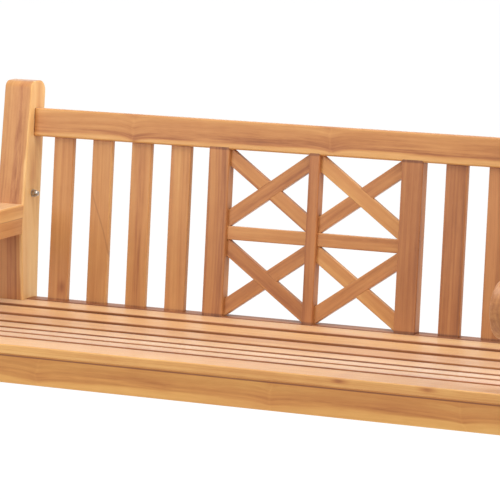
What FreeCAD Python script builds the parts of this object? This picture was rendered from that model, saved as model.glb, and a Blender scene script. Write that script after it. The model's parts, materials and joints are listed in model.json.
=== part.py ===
import FreeCAD, Part
import os
import re
import Sketcher

# A hanging garden swing seat in teak: four posts, a leaning back with slats and
# crossed bars, a dished slatted seat, scrolled arms and the eye bolts it hangs from.
# Units are millimetres and degrees. Seen from the front, +X points to the right, +Y to
# the rear and +Z up, and left and right in the names are meant so. The underside stands
# at height zero.

# The driving sizes
SIZES = {
    # Posts and the frame between them
    "between_posts": 1326.0,
    "post_width": 66.0,
    "front_post_depth": 58.0,
    "rear_post_foot_depth": 61.0,
    "rear_post_arm_depth": 73.0,
    "rear_post_top_depth": 58.0,
    "rear_post_setback": 24.0,
    "rear_post_top_offset": 24.0,
    "rear_post_height": 526.0,
    "front_kink_drop": 49.0,
    "rear_kink_drop": 29.0,
    "post_front_round": 16.0,
    "post_rear_round": 22.0,
    "post_ease": 3.0,
    "frame_depth": 518.0,
    "seat_line": 71.0,
    # The leaning back
    "back_lean": 6.0,
    "back_height": 341.0,
    "frame_proud": 8.0,
    "top_rail_height": 59.5,
    "top_rail_thickness": 32.0,
    "top_rail_ease": 4.0,
    "slat_width": 47.0,
    "slat_thickness": 12.0,
    "slat_ease": 2.0,
    "slat_tenon": 14.0,
    "wide_stile_width": 47.0,
    "centre_stile_width": 24.0,
    "stile_thickness": 24.0,
    "panel_opening": 183.0,
    "mid_rail_height": 28.0,
    "mid_rail_thickness": 16.0,
    "mid_rail_base_height": 155.5,
    "mid_rail_housing": 6.0,
    "bar_width": 30.0,
    "bar_thickness": 12.0,
    # The seat frame
    "rear_rail_thickness": 34.0,
    "rear_rail_drop": 3.0,
    "apron_height": 57.0,
    "apron_thickness": 30.0,
    "apron_setback": 4.0,
    "side_rail_thickness": 34.0,
    "bearer_thickness": 30.0,
    "bearer_lift": 10.0,
    "bearer_spacing": 330.0,
    "rail_ease": 2.0,
    # The seat slats
    "seat_slat_gap": 18.0,
    "seat_slat_thickness": 18.0,
    "seat_slat_inset": 5.0,
    "seat_rear_clearance": 2.0,
    "seat_front_overhang": 6.0,
    "front_slat_width": 88.0,
    "front_slat_nose": 3.0,
    "seat_slat_ease": 1.2,
    "seat_dish": 12.0,
    "notch_clearance": 1.5,
    # The arms
    "arm_width": 86.0,
    "arm_height": 270.0,
    "arm_thickness": 61.0,
    "nose_radius": 54.0,
    "nose_reach": 32.0,
    "nose_drop": 28.0,
    "nose_blend": 120.0,
    "arm_ease": 4.0,
    # Tenons
    "rail_tenon_length": 30.0,
    "rail_tenon_thickness": 14.0,
    "rail_tenon_height": 40.0,
    "side_tenon_length": 20.0,
    "side_tenon_height": 28.0,
    "side_tenon_lift": 6.0,
    "bearer_tenon_length": 12.0,
    "bearer_tenon_height": 18.0,
    "bearer_tenon_lift": 3.0,
    "arm_tenon_length": 25.0,
    "post_tenon_height": 30.0,
    "post_tenon_side": 32.0,
    # The eye bolts and their shackles
    "bolt_radius": 4.0,
    "bolt_hole_clearance": 0.3,
    "rear_bolt_rise": 20.0,
    "rear_bolt_offset": 21.0,
    "front_bolt_height": 141.0,
    "eye_reach": 28.0,
    "eye_radius": 11.0,
    "eye_thickness": 11.0,
    "collar_radius": 11.0,
    "collar_thickness": 4.0,
    "outer_washer_radius": 13.0,
    "inner_washer_radius": 8.0,
    "washer_thickness": 1.6,
    "nut_width": 13.0,
    "nut_thickness": 6.5,
    "dome_radius": 5.6,
    "nut_neck_height": 8.5,
    "nut_bore_depth": 10.0,
    "fit_clearance": 0.05,
    "pin_radius": 4.0,
    "pin_clearance": 0.08,
    "pin_head_radius": 7.0,
    "pin_head_thickness": 4.0,
    "pin_end_length": 3.0,
    "shackle_wire_radius": 4.0,
    "shackle_ear_radius": 8.5,
    "shackle_ear_thickness": 8.4,
    "shackle_side_gap": 0.5,
    "shackle_leg_length": 27.0,
    # Overrun of every cutting solid
    "cut_overrun": 3.0,
}

# Two places closer than this are the same place
TOUCHING = 1e-6

# Height of the seat's top at each line between slats, in shares of the dish,
# from the rear edge to the front edge
seat_height_shares = (-0.31, -0.48, -0.91, -1.0, -0.75, -0.21, 0.27, 0.69)
slats_per_side = 4
seat_slat_count = 7

doc = FreeCAD.newDocument("swing_seat")
sheet = doc.addObject("Spreadsheet::Sheet", "Sizes")
for row, (name, size) in enumerate(SIZES.items(), start=1):
    sheet.set(f"A{row}", name)
    sheet.set(f"B{row}", str(size))
    sheet.setAlias(f"B{row}", name)
doc.recompute()


def formula(text):
    """Point every size name in the text at its cell in the sheet."""
    return re.sub(r"[a-z]+_[a-z_]+", lambda word: "Sizes." + word.group(0), text)


def bind(item, prop, text):
    item.setExpression(prop, formula(text))


def worth(text):
    """The present value of a formula, for drawing and for choosing edges."""
    value = sheet.evalExpression(formula(text))
    return float(getattr(value, "Value", value))


def place(item, x="0", y="0", z="0", axis="0; 0; 1", turn="0"):
    """Bind the whole placement: a turn about an axis, then a move."""
    move = f"vector({x}; {y}; {z})"
    bind(item, "Placement", f"placement({move}; rotation(vector({axis}); {turn}))")


# Lines that many pieces share. The back's front plane meets the seat line at back_line,
# so that the length from the arm's nose to the rear of the posts is centred on the origin.
NOSE_FRONT = "(frame_depth + nose_reach + nose_radius)"
BACK_LINE = f"(({NOSE_FRONT} - rear_post_top_offset - rear_post_top_depth) / 2)"
FRONT_LINE = f"({BACK_LINE} - frame_depth)"
POST_INNER = "(between_posts / 2)"
POST_MIDDLE = "(between_posts / 2 + post_width / 2)"
POST_OUTER = "(between_posts / 2 + post_width)"
FRAME_FRONT = "(0 - frame_proud)"
PANEL_EDGE = "(centre_stile_width / 2 + panel_opening)"
SLAT_GAP = (f"((between_posts / 2 - {PANEL_EDGE} - wide_stile_width"
            f" - {slats_per_side} * slat_width) / {slats_per_side + 1})")
APRON_FRONT = f"({FRONT_LINE} + apron_setback)"
ARM_BOTTOM = "(arm_height - arm_thickness)"
NOSE_MIDDLE = "(arm_height - nose_drop)"
FRONT_KINK = "(arm_height - front_kink_drop)"
REAR_KINK = "(arm_height - rear_kink_drop)"
REAR_BOLT = "(arm_height + rear_bolt_rise)"


def lean(item, x="0"):
    """Stand a piece of the back on the seat line, leaning to the rear."""
    place(item, x, BACK_LINE, "seat_line", "0 - 1; 0; 0", "back_lean")


def sketch_on(body, role, name):
    sketch = body.newObject("Sketcher::SketchObject", name)
    plane = next(item for item in body.Origin.OriginFeatures if item.Role == role)
    sketch.AttachmentSupport = (plane, [""])
    sketch.MapMode = "FlatFace"
    return sketch


def draw_outline(sketch, corners):
    """A closed outline of straight sides, each corner held by two formulas."""
    count = len(corners)
    spots = [FreeCAD.Vector(worth(across), worth(up), 0) for across, up in corners]
    for side in range(count):
        sketch.addGeometry(Part.LineSegment(spots[side], spots[(side + 1) % count]), False)
    for side in range(count):
        joint = Sketcher.Constraint("Coincident", side, 2, (side + 1) % count, 1)
        sketch.addConstraint(joint)
    for side, (across, up) in enumerate(corners):
        for kind, text, value in (("DistanceX", across, spots[side].x),
                                  ("DistanceY", up, spots[side].y)):
            index = sketch.addConstraint(Sketcher.Constraint(kind, -1, 1, side, 1, value))
            bind(sketch, f"Constraints[{index}]", text)


def draw_circle(sketch, across, up, radius):
    centre = FreeCAD.Vector(worth(across), worth(up), 0)
    circle = Part.Circle(centre, FreeCAD.Vector(0, 0, 1), worth(radius))
    sketch.addGeometry(circle, False)
    for kind, text, value in (("DistanceX", across, centre.x), ("DistanceY", up, centre.y)):
        index = sketch.addConstraint(Sketcher.Constraint(kind, -1, 1, 0, 3, value))
        bind(sketch, f"Constraints[{index}]", text)
    index = sketch.addConstraint(Sketcher.Constraint("Radius", 0, worth(radius)))
    bind(sketch, f"Constraints[{index}]", radius)


def pad(body, sketch, length):
    """Thicken a sketch by the same amount to both sides of its plane."""
    feature = body.newObject("PartDesign::Pad", "Pad")
    feature.Profile = sketch
    feature.SideType = "Symmetric"
    bind(feature, "Length", length)
    doc.recompute()
    return feature


def rectangle(low_across, low_up, high_across, high_up):
    return [(low_across, low_up), (high_across, low_up),
            (high_across, high_up), (low_across, high_up)]


def runs_along(edge, direction):
    tangent = edge.tangentAt(edge.FirstParameter)
    return edge.Curve.TypeId == "Part::GeomLine" and abs(tangent.dot(direction)) > 1 - TOUCHING


def soften(body, feature, chosen, radius):
    """Round the edges of the feature that the rule chooses."""
    names = [f"Edge{index}" for index, edge in enumerate(feature.Shape.Edges, start=1)
             if chosen(edge)]
    fillet = body.newObject("PartDesign::Fillet", "Fillet")
    fillet.Base = (feature, names)
    bind(fillet, "Radius", radius)
    doc.recompute()
    return fillet


def board(name, role, corners, length, along, ease):
    """A straight board: a section thickened along its length, long edges eased."""
    body = doc.addObject("PartDesign::Body", name)
    sketch = sketch_on(body, role, name + "_section")
    draw_outline(sketch, corners)
    feature = pad(body, sketch, length)
    soften(body, feature, lambda edge: runs_along(edge, along), ease)
    return body


def box(name, length, width, height, x="0", y="0", z="0"):
    """A plain block from its low corner."""
    block = doc.addObject("Part::Box", name)
    bind(block, "Length", length)
    bind(block, "Width", width)
    bind(block, "Height", height)
    place(block, x, y, z)
    return block


def rod(name, radius, length, x="0", y="0", z="0", axis="0; 1; 0", turn="90"):
    """A round rod whose axis starts along +Z and is turned into place."""
    cylinder = doc.addObject("Part::Cylinder", name)
    bind(cylinder, "Radius", radius)
    bind(cylinder, "Height", length)
    place(cylinder, x, y, z, axis, turn)
    return cylinder


def fuse(name, pieces):
    joined = doc.addObject("Part::MultiFuse", name)
    joined.Shapes = pieces
    return joined


def group(name, pieces):
    together = doc.addObject("Part::Compound", name)
    together.Links = pieces
    return together


def cut(name, base, tools):
    result = doc.addObject("Part::Cut", name)
    result.Base = base
    result.Tool = tools[0] if len(tools) == 1 else group(name + "_tools", tools)
    return result


def common(name, base, tool):
    result = doc.addObject("Part::Common", name)
    result.Base = base
    result.Tool = tool
    return result


ALONG_X = FreeCAD.Vector(1, 0, 0)
ALONG_Y = FreeCAD.Vector(0, 1, 0)
ALONG_Z = FreeCAD.Vector(0, 0, 1)
SIDES = (("left", "0 - "), ("right", ""))
nodes = {}

# The back's uprights, drawn upright and then leaned. Each slat runs from inside the
# rear rail to inside the top rail.


def back_slat(number, x):
    half = "slat_width / 2"
    corners = rectangle(f"0 - {half}", "0", half, "slat_thickness")
    height = "(back_height + 2 * slat_tenon)"
    slat = board(f"back_slat_{number}", "XY_Plane", corners, height, ALONG_Z, "slat_ease")
    return shift_up_and_lean(slat, x, "back_height / 2")


def shift_up_and_lean(item, x, up):
    """Lean a piece whose middle lies the given way up the leaning back."""
    y = f"({BACK_LINE} + ({up}) * sin(back_lean))"
    z = f"(seat_line + ({up}) * cos(back_lean))"
    place(item, x, y, z, "0 - 1; 0; 0", "back_lean")
    return item


slats = []
for side, sign in SIDES:
    for place_out in range(slats_per_side):
        steps = f"({place_out + 1} * {SLAT_GAP} + {place_out} * slat_width)"
        across = f"{sign}({PANEL_EDGE} + wide_stile_width + {steps} + slat_width / 2)"
        number = slats_per_side - place_out if side == "left" else slats_per_side + 1 + place_out
        slats.append(back_slat(number, across))
for slat in slats:
    nodes[slat.Name] = slat

# Blanks of the two long rails of the back, before they are mortised
top_rail_blank = board("top_rail_blank", "YZ_Plane",
                       rectangle(FRAME_FRONT, "back_height",
                                 f"{FRAME_FRONT} + top_rail_thickness",
                                 "back_height + top_rail_height"),
                       "between_posts", ALONG_X, "top_rail_ease")
lean(top_rail_blank)
rear_rail_blank = board("rear_rail_blank", "YZ_Plane",
                        rectangle(f"{BACK_LINE} - frame_proud", "0",
                                  f"{BACK_LINE} - frame_proud + rear_rail_thickness",
                                  "seat_line - rear_rail_drop"),
                        "between_posts", ALONG_X, "rail_ease")

# Mid rails of the crossed panels, housed a little way into the stiles
mid_rails = []
for side, sign in SIDES:
    across = f"{sign}({PANEL_EDGE} - panel_opening / 2)"
    low = "(slat_thickness - mid_rail_thickness) / 2"
    corners = rectangle(low, "0 - mid_rail_height / 2",
                        "(slat_thickness + mid_rail_thickness) / 2", "mid_rail_height / 2")
    rail = board(f"mid_rail_{side}", "YZ_Plane", corners,
                 "panel_opening + 2 * mid_rail_housing", ALONG_X, "slat_ease")
    shift_up_and_lean(rail, across, "mid_rail_base_height + mid_rail_height / 2")
    mid_rails.append(rail)
    nodes[rail.Name] = rail


def stile(name, width, x, crossing):
    """An upright with a thin tenon at each end and housings for the mid rails."""
    half = f"({width}) / 2"
    corners = rectangle(f"0 - {half}", FRAME_FRONT, half, f"{FRAME_FRONT} + stile_thickness")
    length = "(back_height + 2 * slat_tenon)"
    blank = board(name + "_blank", "XY_Plane", corners, length, ALONG_Z, "slat_ease")
    shift_up_and_lean(blank, x, "back_height / 2")
    shouldered = cut(name + "_shouldered", blank, [top_rail_blank, rear_rail_blank])
    tenon = box(name + "_tenon", f"{width} - 2 * slat_ease - 2 * slat_ease", "slat_thickness",
                length)
    slide = f"({x} - {half} + 2 * slat_ease)"
    place(tenon, slide, f"({BACK_LINE} - slat_tenon * sin(back_lean))",
          "(seat_line - slat_tenon * cos(back_lean))", "0 - 1; 0; 0", "back_lean")
    whole = fuse(name + "_whole", [shouldered, tenon])
    return cut(name, whole, crossing)


stiles = [
    stile("wide_stile_left", "wide_stile_width",
          f"(0 - ({PANEL_EDGE} + wide_stile_width / 2))", [mid_rails[0]]),
    stile("centre_stile", "centre_stile_width", "0", mid_rails),
    stile("wide_stile_right", "wide_stile_width",
          f"({PANEL_EDGE} + wide_stile_width / 2)", [mid_rails[1]]),
]
for upright in stiles:
    nodes[upright.Name] = upright

# The crossed bars. Each panel holds a pair, halved over each other where they cross.
# A bar's middle line meets the stile half a bar's width short of the panel's corner.
UPPER_LOW = "(mid_rail_base_height + mid_rail_height)"
PANELS = (
    ("upper", UPPER_LOW, "back_height", "0", {"left": "rising", "right": "falling"}),
    ("lower", "0", "mid_rail_base_height", "2 * rear_rail_drop",
     {"left": "falling", "right": "rising"}),
)


def crossed_bar(name, direction, x, low, high, room_below, is_over):
    """One bar in the upright panel: trimmed to the opening and halved in its middle."""
    slope = f"atan((({high}) - ({low}) - bar_width) / panel_opening)"
    # A turn about +Y lowers the +X end, so a rising bar turns the other way
    turn = f"(0 - 1) * {slope}" if direction == "rising" else slope
    half_width = "bar_width / 2"
    corners = rectangle("0", f"0 - {half_width}", "bar_thickness", half_width)
    bar = board(name + "_blank", "YZ_Plane", corners,
                "2 * panel_opening", ALONG_X, "slat_ease / 2")
    middle = f"(({low}) + ({high})) / 2"
    place(bar, x, "0", middle, "0; 1; 0", turn)
    opening = box(name + "_opening", "panel_opening", "bar_thickness + 2 * cut_overrun",
                  f"({high}) - ({low}) + {room_below}", f"({x} - panel_opening / 2)",
                  "0 - cut_overrun", f"({low}) - {room_below}")
    trimmed = common(name + "_trimmed", bar, opening)
    # The bar that lies over loses its rear half, the other its front half
    half_start = "bar_thickness / 2" if is_over else "0 - cut_overrun"
    other_turn = slope if direction == "rising" else f"(0 - 1) * {slope}"
    lap = box(name + "_lap", "2 * panel_opening", "bar_thickness / 2 + cut_overrun", "bar_width")
    lap_turn = f"rotation(vector(0; 1; 0); {other_turn})"
    lap_low = "vector(0 - panel_opening; 0; 0 - bar_width / 2)"
    bind(lap, "Placement", f"placement(vector({x}; {half_start}; {middle}); {lap_turn})"
         f" * placement({lap_low}; rotation(vector(0; 0; 1); 0))")
    halved = cut(name + "_halved", trimmed, [lap])
    lean(halved)
    return halved


for height_name, low, high, room_below, over in PANELS:
    for side, sign in SIDES:
        across = f"({sign}({PANEL_EDGE} - panel_opening / 2))"
        for direction in ("rising", "falling"):
            name = f"crossed_bar_{height_name}_{side}_{direction}"
            bar = crossed_bar(name, direction, across, low, high, room_below,
                              over[side] == direction)
            # The lower bars are cut to stand on the level top of the rear rail
            seated = cut(name, bar, [rear_rail_blank]) if height_name == "lower" else bar
            nodes[name] = seated

# The seat's lines between slats run from the rear to the front edge,
# and the slats behind the front one share the depth that is left
seat_start = "(frame_proud + seat_rear_clearance - seat_slat_gap / 2)"
seat_pitch = (f"((frame_depth + seat_front_overhang - front_slat_width - seat_slat_gap / 2"
              f" - {seat_start}) / {seat_slat_count - 1})")
seat_lines = []
for line, share in enumerate(seat_height_shares):
    forward = f"({seat_start} + {line} * {seat_pitch})"
    if line == seat_slat_count:
        forward = (f"({seat_start} + {line - 1} * {seat_pitch}"
                   " + seat_slat_gap / 2 + front_slat_width)")
    seat_lines.append((f"({BACK_LINE} - {forward})", f"(seat_line + {share} * seat_dish)"))


def seat_place(index):
    """Middle and tilt of a slat that lies on the chord between two seat lines."""
    (rear_y, rear_z), (front_y, front_z) = seat_lines[index], seat_lines[index + 1]
    tilt = f"atan(({rear_z} - {front_z}) / ({rear_y} - {front_y}))"
    return f"(({rear_y} + {front_y}) / 2)", f"(({rear_z} + {front_z}) / 2)", tilt


# The room above the undersides of all the slats, which shapes every bearer's top
seat_rooms = []
for index in range(seat_slat_count):
    y, z, tilt = seat_place(index)
    span = f"({seat_lines[index][0]} - {seat_lines[index + 1][0]} + 2 * cut_overrun)"
    room = box(f"seat_room_{index + 1}", f"2 * {POST_OUTER}", span, "4 * seat_slat_thickness")
    turned = f"placement(vector(0; {y}; {z}); rotation(vector(1; 0; 0); {tilt}))"
    corner = f"vector(0 - {POST_OUTER}; 0 - {span} / 2; 0 - seat_slat_thickness)"
    bind(room, "Placement", f"{turned} * placement({corner}; rotation(vector(0; 0; 1); 0))")
    seat_rooms.append(room)
seat_room = fuse("seat_room", seat_rooms)


# The front apron with its end tenons
def tenon_box(name, length, x, y_middle, z_low, height="rail_tenon_height"):
    return box(name, length, "rail_tenon_thickness", height, x,
               f"({y_middle} - rail_tenon_thickness / 2)", z_low)


apron_board = board("apron_board", "YZ_Plane",
                    rectangle(APRON_FRONT, "0", f"{APRON_FRONT} + apron_thickness",
                              "seat_line"), "between_posts", ALONG_X, "rail_ease")
apron_shaped = cut("apron_shaped", apron_board, [seat_room])
rail_tenon_span = "between_posts + 2 * rail_tenon_length"
rail_tenon_start = f"(0 - {POST_INNER} - rail_tenon_length)"
apron_tenon = tenon_box("apron_tenon", rail_tenon_span, rail_tenon_start,
                        f"({APRON_FRONT} + apron_thickness / 2)",
                        "(apron_height - rail_tenon_height) / 2")
apron_whole = fuse("apron_whole", [apron_shaped, apron_tenon])

# Front-to-back bearers under the slats, housed in the apron and in the rear rail
APRON_REAR = f"({APRON_FRONT} + apron_thickness)"
RAIL_FRONT = f"({BACK_LINE} - frame_proud)"
bearers = []
for number, sign in ((1, "0 - "), (2, "0 * "), (3, "")):
    name = f"seat_bearer_{number}"
    x = f"({sign}bearer_spacing - bearer_thickness / 2)"
    blank = box(name + "_blank", "bearer_thickness", f"({RAIL_FRONT} - {APRON_REAR})",
                "seat_line - bearer_lift", x, APRON_REAR, "bearer_lift")
    shaped = cut(name + "_shaped", blank, [seat_room])
    tenon = box(name + "_tenon", "bearer_thickness / 2",
                f"({RAIL_FRONT} - {APRON_REAR} + 2 * bearer_tenon_length)",
                "bearer_tenon_height", f"({x} + bearer_thickness / 4)",
                f"({APRON_REAR} - bearer_tenon_length)",
                "(bearer_lift + bearer_tenon_lift)")
    bearer = fuse(name, [shaped, tenon])
    bearers.append(bearer)
    nodes[name] = bearer

front_apron = cut("front_apron", apron_whole, bearers)
nodes["front_apron"] = front_apron

# The rear rail, mortised for the whole back, and the top rail above it
rear_rail_tenon = tenon_box("rear_rail_tenon", rail_tenon_span, rail_tenon_start,
                            f"({RAIL_FRONT} + rear_rail_thickness / 2)",
                            "(seat_line - rail_tenon_height) / 2")
rear_rail_whole = fuse("rear_rail_whole", [rear_rail_blank, rear_rail_tenon])
nodes["rear_seat_rail"] = cut("rear_seat_rail", rear_rail_whole, slats + stiles + bearers)

top_rail_tenon = box("top_rail_tenon", rail_tenon_span, "rail_tenon_thickness",
                     "rail_tenon_height")
rail_middle = f"({FRAME_FRONT} + top_rail_thickness / 2 - rail_tenon_thickness / 2)"
tenon_up = "(back_height + (top_rail_height - rail_tenon_height) / 2)"
leaning = f"placement(vector(0; {BACK_LINE}; seat_line); rotation(vector(0 - 1; 0; 0); back_lean))"
tenon_low = f"vector({rail_tenon_start}; {rail_middle}; {tenon_up})"
bind(top_rail_tenon, "Placement",
     f"{leaning} * placement({tenon_low}; rotation(vector(0; 0; 1); 0))")
top_rail_whole = fuse("top_rail_whole", [top_rail_blank, top_rail_tenon])
nodes["top_back_rail"] = cut("top_back_rail", top_rail_whole, slats + stiles)

# The side rails under the ends of the slats
REAR_POST_FRONT = f"({BACK_LINE} - rear_post_setback)"
FRONT_POST_REAR = f"({FRONT_LINE} + front_post_depth)"
side_rails = {}
for side, sign in SIDES:
    name = f"side_seat_rail_{side}"
    x = f"({sign}{POST_MIDDLE} - side_rail_thickness / 2)"
    blank = box(name + "_blank", "side_rail_thickness",
                f"({REAR_POST_FRONT} - {FRONT_POST_REAR})", "seat_line", x, FRONT_POST_REAR, "0")
    shaped = cut(name + "_shaped", blank, [seat_room])
    tenon = box(name + "_tenon", "rail_tenon_thickness",
                f"({REAR_POST_FRONT} - {FRONT_POST_REAR} + 2 * side_tenon_length)",
                "side_tenon_height", f"({sign}{POST_MIDDLE} - rail_tenon_thickness / 2)",
                f"({FRONT_POST_REAR} - side_tenon_length)", "side_tenon_lift")
    side_rails[side] = fuse(name, [shaped, tenon])
    nodes[name] = side_rails[side]

# The bolt holes and the bolts' positions
BOLTS = (
    ("rear", f"({BACK_LINE} + rear_bolt_offset)", REAR_BOLT),
    ("front", f"({FRONT_LINE} + front_post_depth / 2)", "front_bolt_height"),
)


def bolt_hole(name, side_sign, y, z):
    start = f"({side_sign}{POST_MIDDLE} - post_width)"
    return rod(name, "bolt_radius + bolt_hole_clearance", "2 * post_width", start, y, z)


# The front posts, each with a tenon up into the arm
front_posts = {}
for side, sign in SIDES:
    name = f"front_post_{side}"
    corners = rectangle("0 - post_width / 2", "0 - front_post_depth / 2", "post_width / 2",
                        "front_post_depth / 2")
    post = board(name + "_blank", "XY_Plane", corners, ARM_BOTTOM, ALONG_Z, "post_ease")
    middle_y = f"({FRONT_LINE} + front_post_depth / 2)"
    place(post, f"({sign}{POST_MIDDLE})", middle_y, f"({ARM_BOTTOM} / 2)")
    tenon = box(name + "_tenon", "post_tenon_side", "post_tenon_side", "2 * post_tenon_height",
                f"({sign}{POST_MIDDLE} - post_tenon_side / 2)",
                f"({middle_y} - post_tenon_side / 2)", f"({ARM_BOTTOM} - post_tenon_height)")
    whole = fuse(name + "_whole", [post, tenon])
    hole = bolt_hole(name + "_bolt_hole", sign, middle_y, "front_bolt_height")
    front_posts[side] = cut(name, whole, [front_apron, side_rails[side], hole])
    nodes[name] = front_posts[side]

# The arms. The nose is a round scroll on the front end of a level beam, blended into
# the beam's top. The rear end follows the rear post's front face over its kink.
REAR_SLOPE = ("((rear_post_top_offset + rear_post_setback)"
              f" / (rear_post_height - {FRONT_KINK}))")
arms = {}
for side, sign in SIDES:
    name = f"arm_{side}"
    body = doc.addObject("PartDesign::Body", name + "_blank")
    beam = sketch_on(body, "YZ_Plane", name + "_beam")
    nose_y = f"({FRONT_LINE} - nose_reach)"
    draw_outline(beam, [
        (nose_y, ARM_BOTTOM),
        (REAR_POST_FRONT, ARM_BOTTOM),
        (REAR_POST_FRONT, FRONT_KINK),
        (f"({REAR_POST_FRONT} + (arm_height - {FRONT_KINK}) * {REAR_SLOPE})", "arm_height"),
        (nose_y, "arm_height"),
    ])
    pad(body, beam, "arm_width")
    disc = sketch_on(body, "YZ_Plane", name + "_nose")
    draw_circle(disc, nose_y, NOSE_MIDDLE, "nose_radius")
    rounded = pad(body, disc, "arm_width")

    def is_hollow_edge(edge):
        middle = edge.CenterOfMass
        level = abs(middle.z - worth("arm_height")) < worth("fit_clearance")
        ahead = worth(f"{FRONT_LINE} + front_post_depth")
        return runs_along(edge, ALONG_X) and level and middle.y < ahead

    blended = soften(body, rounded, is_hollow_edge, "nose_blend")
    outer_x = worth("arm_width / 2")
    rear_y = worth(REAR_POST_FRONT)
    low_z = worth(ARM_BOTTOM)

    def is_side_arris(edge):
        box_of = edge.BoundBox
        on_side = box_of.XLength < TOUCHING and abs(abs(box_of.XMin) - outer_x) < TOUCHING
        at_rear = box_of.YMin > rear_y - TOUCHING
        underside = box_of.ZMax < low_z + TOUCHING and box_of.YMax > rear_y - TOUCHING
        return on_side and not at_rear and not underside

    soften(body, blended, is_side_arris, "arm_ease")
    overhang = "(arm_width / 2 - post_width / 2)"
    place(body, f"({sign}({POST_MIDDLE} + {overhang}))")
    tenon = box(name + "_tenon", "rail_tenon_thickness", "2 * arm_tenon_length",
                "rail_tenon_height", f"({sign}{POST_MIDDLE} - rail_tenon_thickness / 2)",
                f"({REAR_POST_FRONT} - arm_tenon_length)",
                f"({ARM_BOTTOM} + (arm_thickness - rail_tenon_height) / 2)")
    whole = fuse(name + "_whole", [body, tenon])
    arms[side] = cut(name, whole, [front_posts[side]])
    nodes[name] = arms[side]

# The rear posts, upright below the arms and leaning above, with rounded tops
for side, sign in SIDES:
    name = f"rear_post_{side}"
    body = doc.addObject("PartDesign::Body", name + "_blank")
    profile = sketch_on(body, "YZ_Plane", name + "_profile")
    draw_outline(profile, [
        (REAR_POST_FRONT, "0"),
        (f"({REAR_POST_FRONT} + rear_post_foot_depth)", "0"),
        (f"({REAR_POST_FRONT} + rear_post_foot_depth)", "seat_line"),
        (f"({REAR_POST_FRONT} + rear_post_arm_depth)", REAR_KINK),
        (f"({BACK_LINE} + rear_post_top_offset + rear_post_top_depth)", "rear_post_height"),
        (f"({BACK_LINE} + rear_post_top_offset)", "rear_post_height"),
        (REAR_POST_FRONT, FRONT_KINK),
    ])
    feature = pad(body, profile, "post_width")
    top_z = worth("rear_post_height")
    middle_y = worth(f"{BACK_LINE} + rear_post_top_offset + rear_post_top_depth / 2")

    def is_top_front(edge):
        middle = edge.CenterOfMass
        return runs_along(edge, ALONG_X) and middle.z > top_z - TOUCHING and middle.y < middle_y

    def is_top_rear(edge):
        middle = edge.CenterOfMass
        return runs_along(edge, ALONG_X) and middle.z > top_z - TOUCHING and middle.y > middle_y

    feature = soften(body, feature, is_top_front, "post_front_round")
    feature = soften(body, feature, is_top_rear, "post_rear_round")
    half_width = worth("post_width / 2")

    def is_post_arris(edge):
        box_of = edge.BoundBox
        on_side = box_of.XLength < TOUCHING and abs(abs(box_of.XMin) - half_width) < TOUCHING
        return on_side and box_of.ZMax > TOUCHING

    soften(body, feature, is_post_arris, "post_ease")
    place(body, f"({sign}{POST_MIDDLE})")
    hole = bolt_hole(name + "_bolt_hole", sign, f"({BACK_LINE} + rear_bolt_offset)",
                     REAR_BOLT)
    seats = [nodes["top_back_rail"], nodes["rear_seat_rail"], side_rails[side], arms[side], hole]
    nodes[name] = cut(name, body, seats)

# The seat slats, each on its chord of the dish, the end ones notched round the posts
for index in range(seat_slat_count):
    number = index + 1
    is_front = number == seat_slat_count
    y, z, tilt = seat_place(index)
    (rear_y, rear_z), (front_y, front_z) = seat_lines[index], seat_lines[index + 1]
    rear_edge = f"(({rear_y} - {front_y}) / 2 - seat_slat_gap / 2)"
    front_edge = f"(0 - ({rear_y} - {front_y}) / 2 + seat_slat_gap / 2)"
    if is_front:
        front_edge = f"(0 - ({rear_y} - {front_y}) / 2)"
    name = f"seat_slat_{number}"
    body = doc.addObject("PartDesign::Body", name + "_blank")
    section = sketch_on(body, "YZ_Plane", name + "_section")
    draw_outline(section, rectangle(front_edge, "0 - seat_slat_thickness", rear_edge, "0"))
    feature = pad(body, section, f"2 * ({POST_OUTER} - seat_slat_inset)")
    front_value = worth(front_edge)

    def is_nose(edge):
        middle = edge.CenterOfMass
        at_front = abs(middle.y - front_value) < TOUCHING
        return runs_along(edge, ALONG_X) and at_front and abs(middle.z) < TOUCHING

    if is_front:
        feature = soften(body, feature, is_nose, "front_slat_nose")
        soften(body, feature,
               lambda edge: runs_along(edge, ALONG_X) and (edge.CenterOfMass.y > 0
                                                           or edge.CenterOfMass.z
                                                           < -worth("seat_slat_thickness / 2")),
               "seat_slat_ease")
    else:
        soften(body, feature, lambda edge: runs_along(edge, ALONG_X), "seat_slat_ease")
    place(body, "0", y, z, "1; 0; 0", tilt)
    if index in (0, seat_slat_count - 1):
        notches = []
        for side, sign in SIDES:
            low_y = f"({REAR_POST_FRONT} - notch_clearance)"
            if is_front:
                low_y = f"({FRONT_POST_REAR} + notch_clearance - 2 * front_slat_width)"
            x = (f"(0 - {POST_INNER} + notch_clearance - 2 * post_width)" if side == "left"
                 else f"({POST_INNER} - notch_clearance)")
            notches.append(box(f"{name}_notch_{side}", "2 * post_width",
                               "2 * front_slat_width", "2 * seat_line", x, low_y, "0"))
        nodes[name] = cut(name, body, notches)
    else:
        body.Label = name
        nodes[name] = body

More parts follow.
